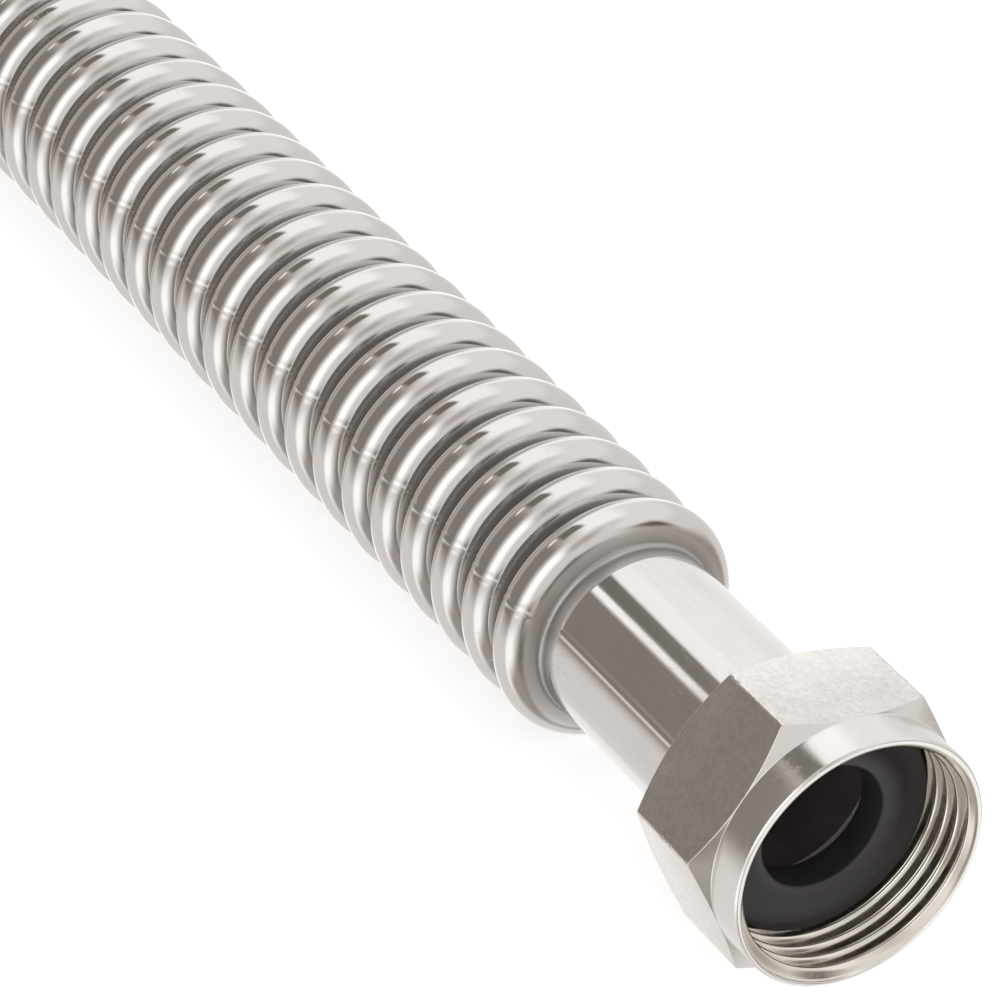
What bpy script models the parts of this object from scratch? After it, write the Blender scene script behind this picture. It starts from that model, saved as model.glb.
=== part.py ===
"""Corrugated stainless steel water connector, 3/4 inch, 12 inch nominal length.

A thin tube is corrugated along its middle and left plain at both ends, as cuffs. Each
cuff ends in a flared flange. A hexagon nut turns on each cuff: its shoulder pulls on
the flange through a slip ring, and a rubber washer seals the flange against the pipe.

The tube's axis lies along X, halfway up the nuts, and the nuts rest on the floor on one
of their flats. The origin is on the floor, below the middle of the tube. Units are metres.
"""

import math

import bmesh
import bpy

MM = 0.001

# Nut: a hexagon of 28 mm across flats with a turned collar at its mouth.
ACROSS_FLATS = 28.0 * MM
CORNER_RADIUS = ACROSS_FLATS / math.sqrt(3)
NUT_LENGTH = 16.2 * MM
COLLAR_RADIUS = 13.95 * MM
COLLAR_LENGTH = 4.3 * MM
RIM_CHAMFER = 0.3 * MM
CHAMFER_SLOPE = math.tan(math.radians(30))
BACK_FACE_RADIUS = 13.6 * MM
THREAD_MINOR_RADIUS = 12.25 * MM
MOUTH_RADIUS = 13.35 * MM
MOUTH_CHAMFER = 1.1 * MM
SHOULDER_DEPTH = 13.3 * MM
NUT_HOLE_RADIUS = 10.6 * MM

# Rubber washer, in front of the tube's flange. Its outside clears the thread.
WASHER_FRONT = 6.6 * MM
WASHER_THICKNESS = 3.8 * MM
WASHER_RADIUS = 12.0 * MM
WASHER_BORE_RADIUS = 6.8 * MM

# What touches keeps this gap.
GAP = 0.3 * MM

# Tube: plain cuffs, flared flanges, and convolutions between the cuffs.
CUFF_RADIUS = 10.1 * MM
TUBE_BORE_RADIUS = 9.7 * MM
FLANGE_FRONT = WASHER_FRONT + WASHER_THICKNESS + GAP
FLANGE_THICKNESS = 0.9 * MM
FLANGE_RADIUS = 12.0 * MM
CUFF_END = 43.3 * MM
FIRST_CREST = 46.2 * MM
CREST_RADIUS = 13.5 * MM
ROOT_RADIUS = 10.1 * MM
CREST_HALF_WIDTH = 1.5 * MM
ROOT_HALF_WIDTH = 0.5 * MM
PITCH = 6.44 * MM
CREST_COUNT = 34

# Slip ring, between the flange and the nut's shoulder.
RING_FRONT = FLANGE_FRONT + FLANGE_THICKNESS + GAP
RING_BACK = SHOULDER_DEPTH - GAP
RING_RADIUS = 12.0 * MM
RING_BORE_RADIUS = 10.4 * MM

CORRUGATED_LENGTH = (CREST_COUNT - 1) * PITCH
LENGTH = 2 * FIRST_CREST + CORRUGATED_LENGTH
AXIS_HEIGHT = ACROSS_FLATS / 2

TUBE_SEGMENTS = 24
FITTING_SEGMENTS = 36
MERGE_DISTANCE = 0.00001


def clear_scene():
    for obj in list(bpy.data.objects):
        bpy.data.objects.remove(obj, do_unlink=True)


def new_collection(name):
    collection = bpy.data.collections.new(name)
    bpy.context.scene.collection.children.link(collection)
    return collection


def new_material(name, color, metallic, roughness):
    material = bpy.data.materials.new(name)
    material.use_nodes = True
    shader = material.node_tree.nodes["Principled BSDF"]
    shader.inputs["Base Color"].default_value = (*color, 1.0)
    shader.inputs["Metallic"].default_value = metallic
    shader.inputs["Roughness"].default_value = roughness
    return material


def link_mesh(name, mesh, collection):
    obj = bpy.data.objects.new(name, mesh)
    collection.objects.link(obj)
    return obj


def outline_mesh(name, profile):
    """A closed outline of (radius, depth) points, in the XZ plane.

    Depth runs inwards from the mouth, along -Z. The points go down the outer side first,
    and come back up the inner side.
    """
    points = [(radius, 0.0, -depth) for radius, depth in profile]
    edges = [(i, (i + 1) % len(points)) for i in range(len(points))]
    mesh = bpy.data.meshes.new(name)
    mesh.from_pydata(points, edges, [])
    return mesh


def turn(obj, segments):
    """Turn an outline about its own Z axis."""
    screw = obj.modifiers.new("turned", "SCREW")
    screw.axis = "Z"
    screw.steps = segments
    screw.render_steps = segments
    screw.use_merge_vertices = True
    screw.merge_threshold = MERGE_DISTANCE
    screw.use_smooth_shade = True
    return screw


def place_at_end(obj, side):
    """Put an object's origin at the centre of a nut's mouth, with its Z axis pointing out.

    side is 1 at the +X end and -1 at the -X end.
    """
    obj.location = (side * LENGTH / 2, 0.0, AXIS_HEIGHT)
    obj.rotation_euler = (0.0, side * math.pi / 2, 0.0)


# ---------------------------------------------------------------- tube


def cuff_outline():
    """Outer side of one end, from the flange to the foot of the first crest."""
    return [
        (FLANGE_RADIUS, FLANGE_FRONT),
        (FLANGE_RADIUS, FLANGE_FRONT + FLANGE_THICKNESS),
        (CUFF_RADIUS, FLANGE_FRONT + FLANGE_THICKNESS),
        (CUFF_RADIUS, CUFF_END),
    ]


def convolution_outline():
    """The crests and the roots between them, from the first crest to the last."""
    points = []
    for index in range(CREST_COUNT):
        crest = FIRST_CREST + index * PITCH
        points.append((CREST_RADIUS, crest - CREST_HALF_WIDTH))
        points.append((CREST_RADIUS, crest + CREST_HALF_WIDTH))
        if index < CREST_COUNT - 1:
            root = crest + PITCH / 2
            points.append((ROOT_RADIUS, root - ROOT_HALF_WIDTH))
            points.append((ROOT_RADIUS, root + ROOT_HALF_WIDTH))
    return points


def make_tube(collection, material):
    near_end = cuff_outline()
    far_end = [(radius, LENGTH - depth) for radius, depth in reversed(near_end)]
    bore = [
        (TUBE_BORE_RADIUS, LENGTH - FLANGE_FRONT),
        (TUBE_BORE_RADIUS, FLANGE_FRONT),
    ]
    outline = near_end + convolution_outline() + far_end + bore
    mesh = outline_mesh("corrugated_tube", outline)
    mesh.materials.append(material)
    tube = link_mesh("corrugated_tube", mesh, collection)
    turn(tube, TUBE_SEGMENTS)
    place_at_end(tube, 1)


# ---------------------------------------------------------------- nuts


def nut_outline():
    """The turned shape of the nut: its collar, two chamfers, and stepped hole."""
    front_chamfer = (CORNER_RADIUS - COLLAR_RADIUS) * CHAMFER_SLOPE
    back_chamfer = (CORNER_RADIUS - BACK_FACE_RADIUS) * CHAMFER_SLOPE
    return [
        (COLLAR_RADIUS - RIM_CHAMFER, 0.0),
        (COLLAR_RADIUS, RIM_CHAMFER),
        (COLLAR_RADIUS, COLLAR_LENGTH),
        (CORNER_RADIUS, COLLAR_LENGTH + front_chamfer),
        (CORNER_RADIUS, NUT_LENGTH - back_chamfer),
        (BACK_FACE_RADIUS, NUT_LENGTH),
        (NUT_HOLE_RADIUS, NUT_LENGTH),
        (NUT_HOLE_RADIUS, SHOULDER_DEPTH),
        (THREAD_MINOR_RADIUS, SHOULDER_DEPTH),
        (THREAD_MINOR_RADIUS, MOUTH_CHAMFER),
        (MOUTH_RADIUS, 0.0),
    ]


def make_hexagon(collection):
    """A hexagonal bar, longer than the nut, with two of its flats facing up and down."""
    margin = 2 * MM
    mesh = bpy.data.meshes.new("hexagon_bar")
    bar = bmesh.new()
    bmesh.ops.create_cone(
        bar,
        cap_ends=True,
        segments=6,
        radius1=CORNER_RADIUS,
        radius2=CORNER_RADIUS,
        depth=NUT_LENGTH + 2 * margin,
    )
    bmesh.ops.translate(bar, vec=(0.0, 0.0, -NUT_LENGTH / 2), verts=bar.verts)
    bar.to_mesh(mesh)
    bar.free()
    hexagon = link_mesh("hexagon_bar", mesh, collection)
    hexagon.hide_render = True
    hexagon.display_type = "WIRE"
    return hexagon


def make_nut(name, side, mesh, parts, cutters):
    nut = link_mesh(name, mesh, parts)
    turn(nut, FITTING_SEGMENTS)
    place_at_end(nut, side)
    hexagon = make_hexagon(cutters)
    place_at_end(hexagon, side)
    flats = nut.modifiers.new("flats", "BOOLEAN")
    flats.operation = "INTERSECT"
    flats.solver = "EXACT"
    flats.object = hexagon


# ---------------------------------------------------------------- washers and rings


def ring_outline(outer_radius, inner_radius, front, back):
    return [
        (outer_radius, front),
        (outer_radius, back),
        (inner_radius, back),
        (inner_radius, front),
    ]


def make_ring(name, side, mesh, collection):
    ring = link_mesh(name, mesh, collection)
    turn(ring, FITTING_SEGMENTS)
    place_at_end(ring, side)


def main():
    clear_scene()
    parts = new_collection("corrugated_water_connector")
    cutters = new_collection("cutters")

    steel = new_material("stainless_tube", (0.72, 0.70, 0.69), 1.0, 0.18)
    nut_steel = new_material("nut_steel", (0.66, 0.64, 0.61), 1.0, 0.32)
    rubber = new_material("black_rubber", (0.02, 0.019, 0.02), 0.0, 0.6)
    nylon = new_material("white_nylon", (0.78, 0.77, 0.74), 0.0, 0.45)

    make_tube(parts, steel)

    nut_mesh = outline_mesh("swivel_nut", nut_outline())
    nut_mesh.materials.append(nut_steel)
    washer_back = WASHER_FRONT + WASHER_THICKNESS
    washer_mesh = outline_mesh(
        "rubber_washer",
        ring_outline(WASHER_RADIUS, WASHER_BORE_RADIUS, WASHER_FRONT, washer_back),
    )
    washer_mesh.materials.append(rubber)
    ring_mesh = outline_mesh(
        "slip_ring",
        ring_outline(RING_RADIUS, RING_BORE_RADIUS, RING_FRONT, RING_BACK),
    )
    ring_mesh.materials.append(nylon)

    for letter, side in (("a", 1), ("b", -1)):
        make_nut(f"swivel_nut_{letter}", side, nut_mesh, parts, cutters)
        make_ring(f"rubber_washer_{letter}", side, washer_mesh, parts)
        make_ring(f"slip_ring_{letter}", side, ring_mesh, parts)


main()
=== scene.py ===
import math

import bpy
import numpy as np
from mathutils import Euler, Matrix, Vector


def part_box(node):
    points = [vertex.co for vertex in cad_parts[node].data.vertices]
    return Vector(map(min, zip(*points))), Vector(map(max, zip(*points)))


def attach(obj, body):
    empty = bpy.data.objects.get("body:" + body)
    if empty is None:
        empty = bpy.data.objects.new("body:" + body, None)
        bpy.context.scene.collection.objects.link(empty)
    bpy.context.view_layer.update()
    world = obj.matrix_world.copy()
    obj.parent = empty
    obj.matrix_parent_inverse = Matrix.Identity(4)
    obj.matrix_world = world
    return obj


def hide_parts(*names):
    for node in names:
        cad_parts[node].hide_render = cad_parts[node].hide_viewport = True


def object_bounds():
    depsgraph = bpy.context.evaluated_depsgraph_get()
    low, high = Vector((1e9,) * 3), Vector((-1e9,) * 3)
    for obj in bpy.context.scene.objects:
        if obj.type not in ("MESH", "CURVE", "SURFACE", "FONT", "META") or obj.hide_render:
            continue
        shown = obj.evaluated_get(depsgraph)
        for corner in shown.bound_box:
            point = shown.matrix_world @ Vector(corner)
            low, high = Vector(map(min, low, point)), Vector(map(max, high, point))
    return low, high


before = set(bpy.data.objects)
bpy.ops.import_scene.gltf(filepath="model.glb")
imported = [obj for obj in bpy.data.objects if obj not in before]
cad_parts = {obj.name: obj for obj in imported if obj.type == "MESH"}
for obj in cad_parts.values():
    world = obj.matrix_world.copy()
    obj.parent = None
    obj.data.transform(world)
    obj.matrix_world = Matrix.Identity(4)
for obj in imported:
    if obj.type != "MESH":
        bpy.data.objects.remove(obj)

cad_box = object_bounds()
MM = 0.001

# ---------------------------------------------------------------- sizes from the frame


def node_depths(node):
    """How far a node of end a starts and ends behind the mouth of its nut."""
    low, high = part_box(node)
    return cad_box[1][0] - high.x, cad_box[1][0] - low.x


HALF_LENGTH = cad_box[1][0]
LENGTH = 2 * HALF_LENGTH
nut_low, nut_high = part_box("swivel_nut_a")
AXIS_Z = (nut_low.z + nut_high.z) / 2
FLAT_RADIUS = (nut_high.z - nut_low.z) / 2
NUT_LENGTH = nut_high.x - nut_low.x
tube_low, tube_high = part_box("corrugated_tube")
FLANGE_FRONT = HALF_LENGTH - tube_high.x
CREST_RADIUS = (tube_high.z - tube_low.z) / 2

# Nut.
COLLAR_RADIUS = 13.95 * MM
COLLAR_LENGTH = 4.3 * MM
CHAMFER_SLOPE = math.tan(math.radians(30))
BACK_FACE_RADIUS = 13.6 * MM
RIM_CHAMFER_WIDTH = 0.22 * MM
RIM_CHAMFER_DEPTH = 0.25 * MM
MOUTH_RADIUS = 13.25 * MM
LIP_INSET = 0.10 * MM
MOUTH_CHAMFER = 0.9 * MM
THREAD_MINOR = 12.3 * MM
THREAD_MAJOR = 13.45 * MM
THREAD_PITCH = 25.4 * MM / 14
THREAD_END = 10.9 * MM
COUNTERBORE_RADIUS = 12.3 * MM
SHOULDER_DEPTH = 13.3 * MM
NUT_HOLE_RADIUS = 10.6 * MM
EDGE_ROUND = 0.16 * MM
# How crisp the hexagon's corners are: higher is sharper.
EDGE_SHARPNESS = 140
THREAD_STEPS = 96

# Washers and slip rings.
RING_BORES = {"rubber": 6.8 * MM, "nylon": 10.4 * MM}
RING_ROUNDS = {"rubber": 0.35 * MM, "nylon": 0.15 * MM}
RING_TURNS = 128

# Tube.
WALL = 0.35 * MM
CUFF_RADIUS = 10.1 * MM
FLANGE_THICKNESS = 0.9 * MM
FLANGE_RADIUS = 12.0 * MM
CUFF_END = 41.0 * MM
NECK_RADIUS = 9.88 * MM
NECK_ROUND = 0.8 * MM
FLARE_ROUND = 0.4 * MM
CREASE_ROUND = 0.3 * MM
END_LEAN = math.radians(15)
FIRST_CREST = 46.2 * MM
PITCH = 6.44 * MM
CREST_COUNT = 34
ROOT_RADIUS = 10.05 * MM
CREST_ROUND = 2.5 * MM
ROOT_ROUND = 0.6 * MM
# Depth behind the flange to which the bore gets the near-white painted glint.
PAINTED_GLINT_DEPTH = 13.32 * MM
SEAM_ANGLE = math.radians(-72.5)
SEAM_WIDTH = 0.24 * MM
SEAM_HEIGHT = 0.07 * MM
SEAM_REACH = math.radians(4.0)
TUBE_TURNS = 168

# ---------------------------------------------------------------- mesh helpers


def arc_corner(before, corner, after, radius, steps, reach=0.45):
    """Points that round one corner of an outline, from one side to the other.

    reach is how much of each side the rounding may take up.
    """
    incoming = corner - before
    outgoing = after - corner
    long_in = np.linalg.norm(incoming)
    long_out = np.linalg.norm(outgoing)
    incoming = incoming / long_in
    outgoing = outgoing / long_out
    turn = math.acos(float(np.clip(incoming @ outgoing, -1.0, 1.0)))
    tangent = max(radius * math.tan(turn / 2), 0.015 * MM)
    tangent = min(tangent, reach * long_in, reach * long_out)
    start = corner - incoming * tangent
    end = corner + outgoing * tangent
    points = []
    for t in np.linspace(0.0, 1.0, steps + 1):
        points.append((1 - t) ** 2 * start + 2 * t * (1 - t) * corner + t**2 * end)
    return points


def rounded_outline(corners, radius, steps=4):
    """An outline of (depth, radius) points whose corners are rounded."""
    corners = [np.array(c, float) for c in corners]
    points = [corners[0]]
    for before, corner, after in zip(corners, corners[1:], corners[2:]):
        points.extend(arc_corner(before, corner, after, radius, steps))
    points.append(corners[-1])
    return points


def closed_rings(name, angles, outlines, side=1):
    """A closed ring-shaped mesh: one closed outline of (depth, radius) at each angle.

    Angles are measured from +Z towards +Y, and depth from the mouth of the nut at +X.
    side is -1 for the other end, where the piece is turned half round about Z.
    """
    outlines = np.asarray(outlines, float)
    turns, count, _ = outlines.shape
    depth, radius = outlines[..., 0], outlines[..., 1]
    sine, cosine = np.sin(angles)[:, None], np.cos(angles)[:, None]
    points = np.stack(
        [
            side * (HALF_LENGTH - depth),
            side * radius * sine,
            AXIS_Z + radius * cosine,
        ],
        axis=-1,
    ).reshape(-1, 3)
    here = np.arange(turns * count).reshape(turns, count)
    along = np.roll(here, -1, axis=1)
    round_ = np.roll(here, -1, axis=0)
    both = np.roll(round_, -1, axis=1)
    faces = np.stack([here, round_, both, along], axis=-1).reshape(-1, 4)
    mesh = bpy.data.meshes.new(name)
    mesh.from_pydata(points.tolist(), [], faces.tolist())
    mesh.shade_smooth()
    mesh.validate()
    return mesh


def add_piece(name, mesh, body, slot, *nodes):
    """Put a mesh in the scene, on its body, in place of its CAD nodes."""
    piece = bpy.data.objects.new(name, mesh)
    bpy.context.scene.collection.objects.link(piece)
    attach(piece, body)
    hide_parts(*nodes)
    return piece


# ---------------------------------------------------------------- material helpers


# Sockets of a Mix node that mixes colours.
COLOR_A, COLOR_B, COLOR_RESULT = 6, 7, 2


class Shader:
    """A Principled material whose nodes are added by short calls."""

    def __init__(self, name):
        self.material = bpy.data.materials.new(name)
        self.material.use_nodes = True
        self.tree = self.material.node_tree
        self.principled = self.tree.nodes["Principled BSDF"]
        self.coordinates = self.node("ShaderNodeTexCoord").outputs["Object"]

    def node(self, kind, settings=(), **inputs):
        made = self.tree.nodes.new(kind)
        for key, value in dict(settings).items():
            setattr(made, key, value)
        for key, value in inputs.items():
            self.set(made.inputs[key.replace("_", " ")], value)
        return made

    def set(self, socket, value):
        if isinstance(value, bpy.types.NodeSocket):
            self.tree.links.new(value, socket)
        else:
            socket.default_value = value

    def set_surface(self, **inputs):
        for key, value in inputs.items():
            self.set(self.principled.inputs[key.replace("_", " ")], value)

    def scaled(self, x, y, z):
        mapping = self.node("ShaderNodeMapping", Vector=self.coordinates)
        mapping.inputs["Scale"].default_value = (x, y, z)
        return mapping.outputs["Vector"]

    def round_axis(self):
        """Radius from the tube's axis, and the angle round it."""
        split = self.node("ShaderNodeSeparateXYZ", Vector=self.coordinates).outputs
        height = self.math("SUBTRACT", split["Z"], AXIS_Z)
        across = self.math("MULTIPLY", split["Y"], split["Y"])
        radius = self.math("SQRT", self.math("ADD", across, self.math("MULTIPLY", height, height)))
        return split["X"], radius, self.math("ARCTAN2", split["Y"], height)

    def unrolled(self, along_scale, round_scale):
        """Coordinates for marks that run round the tube or along it."""
        along, _, angle = self.round_axis()
        across = self.math("MULTIPLY", angle, round_scale)
        joined = self.node("ShaderNodeCombineXYZ", X=self.math("MULTIPLY", along, along_scale), Y=across)
        return joined.outputs["Vector"]

    def noise(self, vector, scale, detail=2.0, roughness=0.5):
        made = self.node(
            "ShaderNodeTexNoise",
            Vector=vector,
            Scale=scale,
            Detail=detail,
            Roughness=roughness,
        )
        return made.outputs["Fac"]

    def ramp(self, value, low, high, start, end):
        """value from start to end becomes low to high, and stays there outside them."""
        made = self.node("ShaderNodeMapRange", Value=value)
        made.inputs["From Min"].default_value = start
        made.inputs["From Max"].default_value = end
        made.inputs["To Min"].default_value = low
        made.inputs["To Max"].default_value = high
        return made.outputs["Result"]

    def math(self, operation, first, second=0.0):
        made = self.node("ShaderNodeMath", {"operation": operation})
        self.set(made.inputs[0], first)
        self.set(made.inputs[1], second)
        return made.outputs[0]

    def wrapped(self, value, low, high):
        """value brought between low and high by whole turns."""
        made = self.node("ShaderNodeMath", {"operation": "WRAP"})
        for socket, given in zip(made.inputs, (value, high, low)):
            self.set(socket, given)
        return made.outputs[0]

    def mix_colors(self, factor, first, second):
        made = self.node("ShaderNodeMix", {"data_type": "RGBA"})
        self.set(made.inputs["Factor"], factor)
        self.set(made.inputs[COLOR_A], first)
        self.set(made.inputs[COLOR_B], second)
        return made.outputs[COLOR_RESULT]

    def bump(self, height, strength, distance, normal=None):
        made = self.node("ShaderNodeBump", Height=height)
        made.inputs["Strength"].default_value = strength
        made.inputs["Distance"].default_value = distance
        if normal is not None:
            self.set(made.inputs["Normal"], normal)
        return made.outputs["Normal"]


def rgba(red, green, blue):
    return (red, green, blue, 1.0)


# ---------------------------------------------------------------- materials


def tube_steel():
    """Bright annealed strip: mirror-like, with faint rolling lines and scratches, and painted shade that
    darkens the roots.
    """
    s = Shader("bright_annealed_steel")
    waves = s.noise(s.scaled(1, 1, 1), 160.0, 2.0)
    rolled = s.noise(s.unrolled(2600.0, 5.0), 1.0, 3.0, 0.65)
    drawn = s.noise(s.unrolled(45.0, 60.0), 1.0, 3.0, 0.65)
    along, radius, _ = s.round_axis()
    far_along = s.math("ABSOLUTE", along)
    on_cuff = s.ramp(far_along, 0.0, 1.0, HALF_LENGTH - CUFF_END - 1.5 * MM, HALF_LENGTH - CUFF_END)
    scratches = s.noise(s.unrolled(420.0, 55.0), 1.0, 4.0, 0.8)
    worn = s.ramp(scratches, 0.0, 1.0, 0.64, 0.70)
    patches = s.noise(s.scaled(1, 1, 1), 95.0, 2.0)
    worn = s.math("MULTIPLY", worn, s.ramp(patches, 0.0, 1.0, 0.54, 0.62))
    tint = s.mix_colors(waves, rgba(0.655, 0.635, 0.622), rgba(0.715, 0.695, 0.682))
    past_cuff = s.ramp(on_cuff, 1.0, 0.0, 0.0, 1.0)
    # Painted shade: off the cuffs, the colour of the roots between the crests is mixed towards dark
    # grey, standing in for the shade in the valleys.
    depth = s.math("MULTIPLY", s.ramp(radius, 1.0, 0.0, 10.3 * MM, 12.3 * MM), past_cuff)
    tint = s.mix_colors(s.math("MULTIPLY", depth, 0.60), tint, rgba(0.24, 0.225, 0.215))
    fine = s.ramp(drawn, 0.04, 0.10, 0.35, 0.65)
    rough = s.math("ADD", fine, s.math("MULTIPLY", worn, 0.30))
    rough = s.math("ADD", rough, s.ramp(depth, 0.0, 0.26, 0.12, 0.45))
    mottle = s.noise(s.unrolled(260.0, 16.0), 1.0, 4.0, 0.75)
    mottle = s.math("MULTIPLY", mottle, on_cuff)
    blotches = s.ramp(mottle, 0.0, 0.15, 0.42, 0.66)
    tint = s.mix_colors(blotches, tint, rgba(0.52, 0.49, 0.465))
    rough = s.math("ADD", rough, s.math("MULTIPLY", blotches, 0.20))
    open_metal = s.math("SUBTRACT", 1.0, depth)
    normal = s.bump(s.math("MULTIPLY", rolled, open_metal), 0.045, 0.02 * MM)
    normal = s.bump(s.math("MULTIPLY", drawn, open_metal), 0.03, 0.02 * MM, normal)
    normal = s.bump(mottle, 0.06, 0.03 * MM, normal)
    normal = s.bump(waves, 0.08, 0.10 * MM, normal)
    normal = s.bump(s.math("MULTIPLY", worn, open_metal), 0.55, -0.03 * MM, normal)
    s.set_surface(Base_Color=tint, Metallic=1.0, Roughness=rough, Normal=normal)
    return s.material


def painted_glint_steel():
    """The inner edge of the flange's bend, coloured near-white as a painted glint."""
    s = Shader("painted_glint_bend")
    scuff = s.noise(s.scaled(900, 900, 900), 1.0, 3.0)
    tint = s.mix_colors(scuff, rgba(0.93, 0.90, 0.86), rgba(1.0, 0.98, 0.95))
    s.set_surface(Base_Color=tint, Metallic=0.1, Roughness=s.ramp(scuff, 0.5, 0.7, 0.3, 0.7))
    return s.material


def dull_painted_shade_steel():
    """The inside of the tube: left dull by rolling and annealing, and darkened in colour as painted
    shade for the shaded bore.
    """
    s = Shader("dull_inside_steel_painted_shade")
    cloud = s.noise(s.scaled(1, 1, 1), 240.0, 4.0)
    tint = s.mix_colors(cloud, rgba(0.16, 0.135, 0.135), rgba(0.26, 0.23, 0.23))
    s.set_surface(Base_Color=tint, Metallic=0.3, Roughness=s.ramp(cloud, 0.55, 0.70, 0.3, 0.7))
    return s.material


def nut_flat_steel():
    """Drawn hexagon flats: satin and mottled, with a few bright specks and nicked edges."""
    s = Shader("drawn_nut_flats")
    grain = s.noise(s.scaled(1, 1, 1), 1500.0, 4.0, 0.75)
    specks = s.noise(s.scaled(1, 1, 1), 2300.0, 3.0, 0.7)
    specks = s.ramp(specks, 0.0, 1.0, 0.60, 0.76)
    drag = s.noise(s.scaled(260, 2200, 2200), 1.0, 3.0, 0.6)
    cloud = s.noise(s.scaled(1, 1, 1), 240.0, 5.0, 0.7)
    _, _, angle = s.round_axis()
    from_flat = s.math("ABSOLUTE", s.wrapped(angle, -math.pi / 6, math.pi / 6))
    on_edge = s.ramp(from_flat, 0.0, 1.0, math.radians(28.9), math.radians(29.6))
    nicks = s.noise(s.scaled(1, 1, 1), 1100.0, 2.0, 0.6)
    nicks = s.math("MULTIPLY", s.ramp(nicks, 0.0, 1.0, 0.54, 0.62), on_edge)
    mottle = s.math("ADD", s.math("MULTIPLY", cloud, 0.4), s.math("MULTIPLY", grain, 0.6))
    mottle = s.ramp(mottle, 0.0, 1.0, 0.38, 0.60)
    tint = s.mix_colors(mottle, rgba(0.645, 0.61, 0.575), rgba(0.785, 0.763, 0.742))
    tint = s.mix_colors(s.math("MULTIPLY", specks, 0.35), tint, rgba(0.96, 0.95, 0.93))
    tint = s.mix_colors(s.math("MULTIPLY", nicks, 0.6), tint, rgba(0.38, 0.355, 0.33))
    rough = s.math("ADD", s.ramp(cloud, 0.13, 0.22, 0.3, 0.7), s.math("MULTIPLY", specks, 0.16))
    normal = s.bump(grain, 0.6, 0.02 * MM)
    normal = s.bump(drag, 0.12, 0.015 * MM, normal)
    normal = s.bump(specks, 0.35, 0.02 * MM, normal)
    normal = s.bump(nicks, 0.5, -0.05 * MM, normal)
    s.set_surface(Base_Color=tint, Metallic=1.0, Roughness=rough, Normal=normal)
    return s.material


def nut_turned_steel():
    """Lathe-turned collar, chamfers and rim: bright, with fine rings and handling marks."""
    s = Shader("turned_nut_steel")
    rings = s.noise(s.scaled(5200, 60, 60), 1.0, 2.0, 0.6)
    cloud = s.noise(s.scaled(1, 1, 1), 220.0, 3.0)
    marks = s.noise(s.scaled(1500, 500, 500), 1.0, 4.0, 0.75)
    marks = s.ramp(marks, 0.0, 1.0, 0.58, 0.72)
    tint = s.mix_colors(cloud, rgba(0.68, 0.665, 0.64), rgba(0.82, 0.805, 0.78))
    tint = s.mix_colors(s.math("MULTIPLY", marks, 0.4), tint, rgba(0.90, 0.88, 0.85))
    rough = s.math("ADD", s.ramp(cloud, 0.12, 0.22, 0.35, 0.65), s.math("MULTIPLY", marks, 0.2))
    normal = s.bump(rings, 0.10, 0.01 * MM)
    normal = s.bump(marks, 0.3, -0.02 * MM, normal)
    s.set_surface(Base_Color=tint, Metallic=1.0, Roughness=rough, Normal=normal)
    return s.material


def nut_thread_steel():
    """Cut thread: bright crests, with a warm tint."""
    s = Shader("cut_thread_steel")
    cloud = s.noise(s.scaled(1, 1, 1), 300.0, 3.0)
    chatter = s.noise(s.scaled(500, 500, 500), 1.0, 3.0, 0.7)
    tint = s.mix_colors(cloud, rgba(0.72, 0.67, 0.60), rgba(0.84, 0.82, 0.77))
    rough = s.ramp(chatter, 0.12, 0.22, 0.35, 0.65)
    normal = s.bump(chatter, 0.12, 0.03 * MM)
    s.set_surface(Base_Color=tint, Metallic=1.0, Roughness=rough, Normal=normal)
    return s.material


def black_rubber():
    """Matt black rubber with a fine grain and a little dust."""
    s = Shader("black_rubber")
    dust = s.noise(s.scaled(1, 1, 1), 420.0, 4.0, 0.6)
    grain = s.noise(s.scaled(1, 1, 1), 3200.0, 2.0)
    tint = s.mix_colors(dust, rgba(0.022, 0.019, 0.020), rgba(0.046, 0.041, 0.043))
    rough = s.ramp(dust, 0.36, 0.55, 0.3, 0.7)
    normal = s.bump(grain, 0.25, 0.02 * MM)
    s.set_surface(Base_Color=tint, Roughness=rough, Normal=normal)
    return s.material


def white_nylon():
    """Moulded white nylon, hidden inside the nut until it slides back."""
    s = Shader("white_nylon")
    cloud = s.noise(s.scaled(1, 1, 1), 250.0, 2.0)
    grain = s.noise(s.scaled(1, 1, 1), 2400.0, 2.0)
    tint = s.mix_colors(cloud, rgba(0.70, 0.69, 0.65), rgba(0.80, 0.79, 0.76))
    normal = s.bump(grain, 0.2, 0.02 * MM)
    s.set_surface(Base_Color=tint, Roughness=s.ramp(cloud, 0.4, 0.5, 0.3, 0.7), Normal=normal)
    return s.material


# ---------------------------------------------------------------- tube


def wave_arc(centre_depth, centre_radius, radius, leans, steps, outward):
    """One rounded crest (outward 1) or root (outward -1) of the wave.

    leans are the angles of the flanks before and after it, from the radial direction.
    """
    points = []
    for angle in np.linspace(leans[0] - math.pi / 2, math.pi / 2 - leans[1], steps + 1):
        points.append(
            (
                centre_depth + radius * math.sin(angle),
                centre_radius + outward * radius * math.cos(angle),
            )
        )
    return points


def flank_lean():
    """Angle of the wave's flanks from the radial direction."""
    drop = CREST_RADIUS - CREST_ROUND - ROOT_RADIUS - ROOT_ROUND
    apart = math.hypot(PITCH / 2, drop)
    return math.acos((CREST_ROUND + ROOT_ROUND) / apart) - math.atan2(drop, PITCH / 2)


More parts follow.
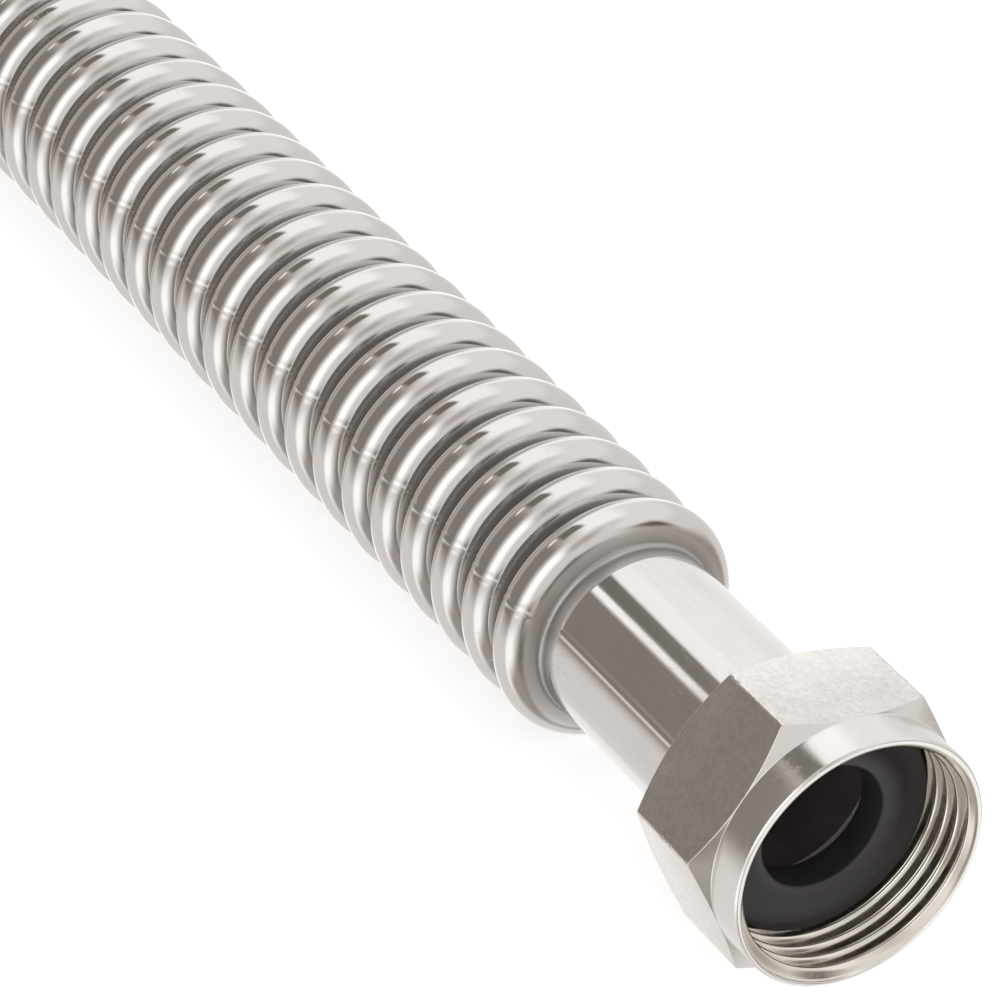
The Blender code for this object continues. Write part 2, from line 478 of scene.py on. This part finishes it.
def wave(wall, steps):
    """Crests and roots from the first crest to the last, joined by straight flanks.

    wall is 0 for the outer surface, and the wall's thickness for the inner one.
    """
    crest_round = CREST_ROUND - wall
    root_round = ROOT_ROUND + wall
    crest_centre = CREST_RADIUS - CREST_ROUND
    root_centre = ROOT_RADIUS + ROOT_ROUND
    half_pitch = PITCH / 2
    lean = flank_lean()
    last = CREST_COUNT - 1
    points = []
    for index in range(CREST_COUNT):
        crest = FIRST_CREST + index * PITCH
        leans = (END_LEAN if index == 0 else lean, END_LEAN if index == last else lean)
        points += wave_arc(crest, crest_centre, crest_round, leans, steps, 1)
        if index < last:
            root = crest + half_pitch
            points += wave_arc(root, root_centre, root_round, (lean, lean), steps // 2, -1)
    return points


def end_outline(wall):
    """One end of the tube, from its flange to the flank of the first crest.

    wall is 0 for the outer surface, and the wall's thickness for the inner one.
    """
    crest_round = CREST_ROUND - wall
    flank_depth = FIRST_CREST - crest_round * math.cos(END_LEAN)
    flank_radius = CREST_RADIUS - CREST_ROUND + crest_round * math.sin(END_LEAN)
    foot_radius = NECK_RADIUS - wall
    foot_depth = flank_depth - (flank_radius - foot_radius) * math.tan(END_LEAN)
    corners = [
        (FLANGE_FRONT + FLANGE_THICKNESS - wall, FLANGE_RADIUS),
        (FLANGE_FRONT + FLANGE_THICKNESS - wall, CUFF_RADIUS - wall),
        (CUFF_END, CUFF_RADIUS - wall),
        (foot_depth, foot_radius),
        (flank_depth, flank_radius),
    ]
    corners = [np.array(corner) for corner in corners]
    flare = arc_corner(*corners[0:3], FLARE_ROUND, 5)
    crease = arc_corner(*corners[1:4], CREASE_ROUND, 4)
    neck = arc_corner(*corners[2:5], NECK_ROUND, 12, 0.95)
    flange = [corners[0]] + flare
    return [tuple(p) for p in flange], [tuple(p) for p in crease + neck]


def mirrored(points):
    return [(LENGTH - depth, radius) for depth, radius in reversed(points)]


def tube_outline():
    """The tube's outer outline, and its inner one, both from end a to end b."""
    flange, neck = end_outline(0.0)
    outer = flange + neck + wave(0.0, 20) + mirrored(flange + neck)
    # The flange's face, and its bend into the bore.
    mouth = [
        (FLANGE_FRONT, FLANGE_RADIUS),
        (FLANGE_FRONT, CUFF_RADIUS + 0.3 * MM),
        (FLANGE_FRONT + 0.15 * MM, CUFF_RADIUS - WALL + 0.2 * MM),
        (FLANGE_FRONT + 0.5 * MM, CUFF_RADIUS - WALL),
        (PAINTED_GLINT_DEPTH, CUFF_RADIUS - WALL),
    ]
    inner_end = mouth + end_outline(WALL)[1]
    inner = inner_end + wave(WALL, 8) + mirrored(inner_end)
    return outer, inner


def seam_angles():
    """Angles round the tube: even ones, and close ones across the weld seam."""
    even = np.linspace(0, 2 * math.pi, TUBE_TURNS, endpoint=False) + SEAM_ANGLE
    away = np.abs((even - SEAM_ANGLE + math.pi) % (2 * math.pi) - math.pi)
    close = SEAM_ANGLE + np.linspace(-SEAM_REACH, SEAM_REACH, 17)
    return np.sort(np.concatenate([even[away > SEAM_REACH], close]))


def make_tube():
    """The whole tube, with its weld seam and its three surfaces: the bright outside, the dull inside
    darkened with painted shade, and the near-white painted glint at the flange's bend.
    """
    angles = seam_angles()
    outer, inner = tube_outline()
    outline = np.array(outer + inner[::-1])
    outlines = np.repeat(outline[None], len(angles), axis=0)
    away = (angles - SEAM_ANGLE + math.pi) % (2 * math.pi) - math.pi
    distance = away[:, None] * outlines[..., 1]
    bead = np.exp(-((distance / SEAM_WIDTH) ** 2))
    dip = np.exp(-((distance / (2.6 * SEAM_WIDTH)) ** 2))
    outlines[..., 1] += SEAM_HEIGHT * (bead - 0.7 * dip)
    mesh = closed_rings("corrugated_steel_tube", angles, outlines)
    for material in (tube_steel(), dull_painted_shade_steel(), painted_glint_steel()):
        mesh.materials.append(material)
    kind = np.zeros(len(outline), np.int32)
    # Faces of the inside get the dull steel, darkened with painted shade.
    kind[len(outer) :] = 1
    from_end = np.minimum(outline[:, 0], LENGTH - outline[:, 0])
    # Faces of the bore up to this depth get the near-white painted glint.
    kind[(kind == 1) & (from_end <= PAINTED_GLINT_DEPTH)] = 2
    mesh.polygons.foreach_set("material_index", np.tile(kind, len(angles)))
    return add_piece(mesh.name, mesh, "tube", "stainless_tube", "corrugated_tube")


# ---------------------------------------------------------------- nuts

# What each face of a nut is, as the index of its material.
FLATS, TURNED, THREAD = range(3)


def hexagon_radius(angle):
    """Distance from the axis to the nut's side, with slightly rounded corners."""
    folded = (angle + math.pi / 6) % (math.pi / 3) - math.pi / 6
    total = 0.0
    for turn in (-1, 0, 1):
        total += max(math.cos(folded + turn * math.pi / 3), 0.0) ** EDGE_SHARPNESS
    return FLAT_RADIUS / total ** (1 / EDGE_SHARPNESS)


def nut_angles():
    """Angles round the nut, closer together near the hexagon's six corners."""
    near = np.radians(np.arange(-2.0, 2.01, 0.25))
    between = np.radians(np.arange(3.0, 57.5, 1.5))
    sixth = np.concatenate([near, between])
    corners = np.radians(30 + 60 * np.arange(6))
    return np.sort(np.concatenate([corner + sixth for corner in corners]))


def thread_radius(depth, angle):
    """Radius of the internal thread, whose crests and grooves are both rounded."""
    phase = depth / THREAD_PITCH - angle / (2 * math.pi)
    groove = 0.5 - 0.5 * np.cos(2 * math.pi * phase)
    return THREAD_MINOR + (THREAD_MAJOR - THREAD_MINOR) * groove


def nut_column(angle):
    """The nut's closed outline of (depth, radius) points at one angle. The thread comes last."""
    side = hexagon_radius(angle)
    collar = min(COLLAR_RADIUS, side - 0.002 * MM)
    front = COLLAR_LENGTH + max((side - collar) * CHAMFER_SLOPE, 0.05 * MM)
    back = NUT_LENGTH - (side - BACK_FACE_RADIUS) * CHAMFER_SLOPE
    corners = [
        (0.0, MOUTH_RADIUS + LIP_INSET),
        (0.0, collar - RIM_CHAMFER_WIDTH),
        (RIM_CHAMFER_DEPTH, collar),
        (COLLAR_LENGTH, collar),
        (front, side),
        (back, side),
        (NUT_LENGTH, BACK_FACE_RADIUS),
        (NUT_LENGTH, NUT_HOLE_RADIUS),
        (SHOULDER_DEPTH, NUT_HOLE_RADIUS),
        (SHOULDER_DEPTH, COUNTERBORE_RADIUS),
        (THREAD_END + 0.5 * MM, COUNTERBORE_RADIUS),
    ]
    points = rounded_outline(corners, EDGE_ROUND)
    depths = np.linspace(THREAD_END, 0.12 * MM, THREAD_STEPS)
    cone = THREAD_MINOR + (MOUTH_RADIUS - THREAD_MINOR) * (1 - depths / MOUTH_CHAMFER)
    run_in = np.clip((THREAD_END - depths) / THREAD_PITCH, 0.0, 1.0)
    thread = THREAD_MINOR + (thread_radius(depths, angle) - THREAD_MINOR) * run_in
    inside = np.maximum(thread, np.where(depths < MOUTH_CHAMFER, cone, 0.0))
    return points + list(np.stack([depths, inside], axis=1))


def nut_mesh(name, side, materials):
    """One nut: drawn flats, turned collar and faces, and a cut thread."""
    angles = nut_angles()
    outlines = np.array([nut_column(angle) for angle in angles])
    mesh = closed_rings(name, angles, outlines, side)
    for material in materials:
        mesh.materials.append(material)
    count = outlines.shape[1]
    depth = outlines[..., 0]
    radius = outlines[..., 1]
    sides = np.array([hexagon_radius(angle) for angle in angles])[:, None]
    beside_flat = np.abs(radius - sides) < 0.03 * MM
    on_flat = beside_flat & np.roll(beside_flat, -1, 1)
    in_thread = (np.arange(count)[None, :] >= count - THREAD_STEPS - 1) & (depth > 0.0)
    kind = np.where(on_flat, FLATS, np.where(in_thread, THREAD, TURNED)).reshape(-1)
    mesh.polygons.foreach_set("material_index", kind.astype(np.int32))
    return mesh


def make_nut(letter, side, materials):
    """The nut of end a or b, in place of its CAD node."""
    name = f"hexagon_nut_{letter}"
    mesh = nut_mesh(name, side, materials)
    return add_piece(name, mesh, f"nut_{letter}", "nut_steel", f"swivel_nut_{letter}")


# ---------------------------------------------------------------- washers and rings


def ring_piece(name, node, body, side, slot, material):
    """A ring with rounded edges that fills its node's box."""
    front, back = node_depths(node.replace("_b", "_a"))
    low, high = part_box(node)
    outer = (high.z - low.z) / 2
    inner = RING_BORES[slot]
    middle = (outer + inner) / 2
    corners = [
        (front, middle),
        (front, outer),
        (back, outer),
        (back, inner),
        (front, inner),
        (front, middle),
    ]
    outline = np.array(rounded_outline(corners, RING_ROUNDS[slot], 6))
    angles = np.linspace(0, 2 * math.pi, RING_TURNS, endpoint=False)
    outlines = np.repeat(outline[None], RING_TURNS, axis=0)
    mesh = closed_rings(name, angles, outlines, side)
    mesh.materials.append(material)
    return add_piece(name, mesh, body, slot, node)


# ---------------------------------------------------------------- floor, light and camera


def make_floor():
    """A plain pale floor that glows a little, so that it meets the white backdrop."""
    mesh = bpy.data.meshes.new("studio_floor")
    half = 4.0
    corners = [(-half, -half, 0), (half, -half, 0), (half, half, 0), (-half, half, 0)]
    mesh.from_pydata(corners, [], [(0, 1, 2, 3)])
    floor = bpy.data.objects.new("studio_floor", mesh)
    bpy.context.scene.collection.objects.link(floor)
    s = Shader("pale_floor")
    s.set_surface(
        Base_Color=rgba(0.80, 0.80, 0.80),
        Roughness=0.9,
        Emission_Color=rgba(1.0, 1.0, 1.0),
        Emission_Strength=0.62,
    )
    mesh.materials.append(s.material)
    floor.visible_glossy = False


# The studio, as soft-edged cards round the tube. A card covers a span along X (-1 straight
# behind the tube, 1 straight ahead of the nut) and a span round the tube (degrees from
# straight up towards +Y), and has a brightness and the softness of its edges in both
# directions. Later cards stand in front of earlier ones. All but the front glow were first
# fitted to the photo by a program, then rewritten to coarse steps.
TENT_BRIGHTNESS = 0.85
STUDIO_CARDS = [
    {"name": "left wall", "x": (0.05, 0.55), "around": (-160, -110), "bright": 1.4, "soft": (0.25, 25)},
    {"name": "white card", "x": (0.25, 0.70), "around": (-95, -35), "bright": 1.5, "soft": (0.25, 20)},
    {"name": "dark flag", "x": (-1.05, 0.05), "around": (-110, -30), "bright": 0.27, "soft": (0.40, 30)},
    {"name": "top light", "x": (-1.00, 0.30), "around": (-15, 30), "bright": 1.25, "soft": (0.30, 15)},
    {"name": "right wall", "x": (-0.90, 0.80), "around": (20, 60), "bright": 1.0, "soft": (0.15, 15)},
    {"name": "back wall", "x": (-0.90, -0.70), "around": (20, 180), "bright": 1.3, "soft": (0.20, 15)},
    {"name": "front floor", "x": (0.20, 0.90), "around": (90, 215), "bright": 0.4, "soft": (0.35, 25)},
    {"name": "front glow", "x": (0.35, 1.10), "around": (120, 165), "bright": 1.2, "soft": (0.20, 20)},
    {"name": "front gap", "x": (0.50, 0.80), "around": (-30, 0), "bright": 0.55, "soft": (0.20, 20)},
    {"name": "strip light", "x": (-0.75, -0.65), "around": (-40, -30), "bright": 1.4, "soft": (0.10, 5)},
    {"name": "strip shade", "x": (-0.80, -0.25), "around": (-30, -10), "bright": 0.2, "soft": (0.20, 5)},
    {"name": "low front", "x": (0.75, 0.90), "around": (-180, -100), "bright": 0.15, "soft": (0.30, 25)},
    {"name": "front corner", "x": (0.65, 0.85), "around": (55, 85), "bright": 0.15, "soft": (0.15, 20)},
    {"name": "far end", "x": (-1.05, -0.85), "around": (-230, 85), "bright": 0.5, "soft": (0.15, 60)},
]
WHITE_BACKDROP = 1.0
# The light is warmer where it is dim, and neutral where it is bright.
DIM_LIGHT, BRIGHT_LIGHT = 0.3, 1.1
WARM_SHADE = rgba(1.10, 1.0, 0.92)
NEUTRAL_LIGHT = rgba(1.01, 1.0, 0.995)


class StudioLight:
    """Shader nodes that give the brightness of the studio in every direction."""

    def __init__(self, tree):
        self.tree = tree
        direction = tree.nodes.new("ShaderNodeTexCoord").outputs["Generated"]
        split = tree.nodes.new("ShaderNodeSeparateXYZ")
        tree.links.new(direction, split.inputs[0])
        self.along = split.outputs["X"]
        self.around = self.math("ARCTAN2", split.outputs["Y"], split.outputs["Z"])

    def math(self, operation, *values):
        made = self.tree.nodes.new("ShaderNodeMath")
        made.operation = operation
        for socket, value in zip(made.inputs, values):
            if isinstance(value, bpy.types.NodeSocket):
                self.tree.links.new(value, socket)
            else:
                socket.default_value = value
        return made.outputs[0]

    def rising(self, value, start, end):
        """0 at start and before it, 1 at end and past it, and a smooth rise between them."""
        edge = self.tree.nodes.new("ShaderNodeMapRange")
        edge.interpolation_type = "SMOOTHSTEP"
        self.tree.links.new(value, edge.inputs["Value"])
        edge.inputs["From Min"].default_value = start
        edge.inputs["From Max"].default_value = end
        return edge.outputs["Result"]

    def inside(self, distance, half_width, soft):
        """1 nearer than half_width, 0 beyond it, with a soft edge between."""
        return self.rising(distance, half_width + soft / 2, half_width - soft / 2)

    def cover(self, card):
        """How much of a direction a card covers, from 0 to 1."""
        (left, right), (start, end), (soft_x, soft_angle) = card["x"], card["around"], card["soft"]
        from_middle = self.math("ABSOLUTE", self.math("SUBTRACT", self.along, (left + right) / 2))
        turned = self.math("SUBTRACT", self.around, math.radians((start + end) / 2))
        turned = self.math("ABSOLUTE", self.math("WRAP", turned, math.pi, -math.pi))
        across = self.inside(from_middle, (right - left) / 2, soft_x)
        round_ = self.inside(turned, math.radians((end - start) / 2), math.radians(soft_angle))
        return self.math("MULTIPLY", across, round_)

    def brightness(self):
        total = TENT_BRIGHTNESS
        for card in STUDIO_CARDS:
            change = self.math("SUBTRACT", card["bright"], total)
            total = self.math("MULTIPLY_ADD", change, self.cover(card), total)
        return total


def make_world():
    """Plain soft studio light: a pale tent with bright and dark cards round the tube."""
    world = bpy.data.worlds.new("studio")
    bpy.context.scene.world = world
    world.use_nodes = True
    tree = world.node_tree
    studio = StudioLight(tree)
    camera_ray = tree.nodes.new("ShaderNodeLightPath").outputs["Is Camera Ray"]
    total = studio.brightness()
    change = studio.math("SUBTRACT", WHITE_BACKDROP, total)
    shown = studio.math("MULTIPLY_ADD", change, camera_ray, total)
    tree.links.new(shown, tree.nodes["Background"].inputs["Strength"])
    lit = studio.rising(total, DIM_LIGHT, BRIGHT_LIGHT)
    color = tree.nodes.new("ShaderNodeMix")
    color.data_type = "RGBA"
    tree.links.new(lit, color.inputs["Factor"])
    color.inputs[COLOR_A].default_value = WARM_SHADE
    color.inputs[COLOR_B].default_value = NEUTRAL_LIGHT
    tree.links.new(color.outputs[COLOR_RESULT], tree.nodes["Background"].inputs["Color"])


CAMERA_AIM = (HALF_LENGTH - 69.7 * MM, 0.3 * MM, 14.3 * MM)
CAMERA_DISTANCE = 525.0 * MM
CAMERA_AZIMUTH = math.radians(55.81)
CAMERA_ELEVATION = math.radians(29.74)
CAMERA_ROLL = math.radians(8.64)
CAMERA_LENS = 180.84


def make_camera():
    """A long lens that looks along the tube from the nut's end, a little above it."""
    data = bpy.data.cameras.new("camera")
    data.lens = CAMERA_LENS
    data.sensor_width = 36.0
    data.clip_start = 0.01
    camera = bpy.data.objects.new("camera", data)
    bpy.context.scene.collection.objects.link(camera)
    outward = Vector(
        (
            math.sin(CAMERA_AZIMUTH) * math.cos(CAMERA_ELEVATION),
            -math.cos(CAMERA_AZIMUTH) * math.cos(CAMERA_ELEVATION),
            math.sin(CAMERA_ELEVATION),
        )
    )
    camera.location = Vector(CAMERA_AIM) + CAMERA_DISTANCE * outward
    level = Euler((math.pi / 2 - CAMERA_ELEVATION, 0.0, CAMERA_AZIMUTH)).to_matrix()
    roll = Euler((0.0, 0.0, CAMERA_ROLL)).to_matrix()
    camera.rotation_euler = (level @ roll).to_euler()
    bpy.context.scene.camera = camera


def main():
    bpy.context.scene.view_settings.view_transform = "Standard"
    make_camera()
    tube = make_tube()
    nut_materials = [nut_flat_steel(), nut_turned_steel(), nut_thread_steel()]
    rubber, nylon = black_rubber(), white_nylon()
    for letter, side in (("a", 1), ("b", -1)):
        make_nut(letter, side, nut_materials)
        ring_piece(f"washer_{letter}", f"rubber_washer_{letter}", "tube", side, "rubber", rubber)
        ring_piece(f"ring_{letter}", f"slip_ring_{letter}", f"ring_{letter}", side, "nylon", nylon)
    make_floor()
    make_world()


main()
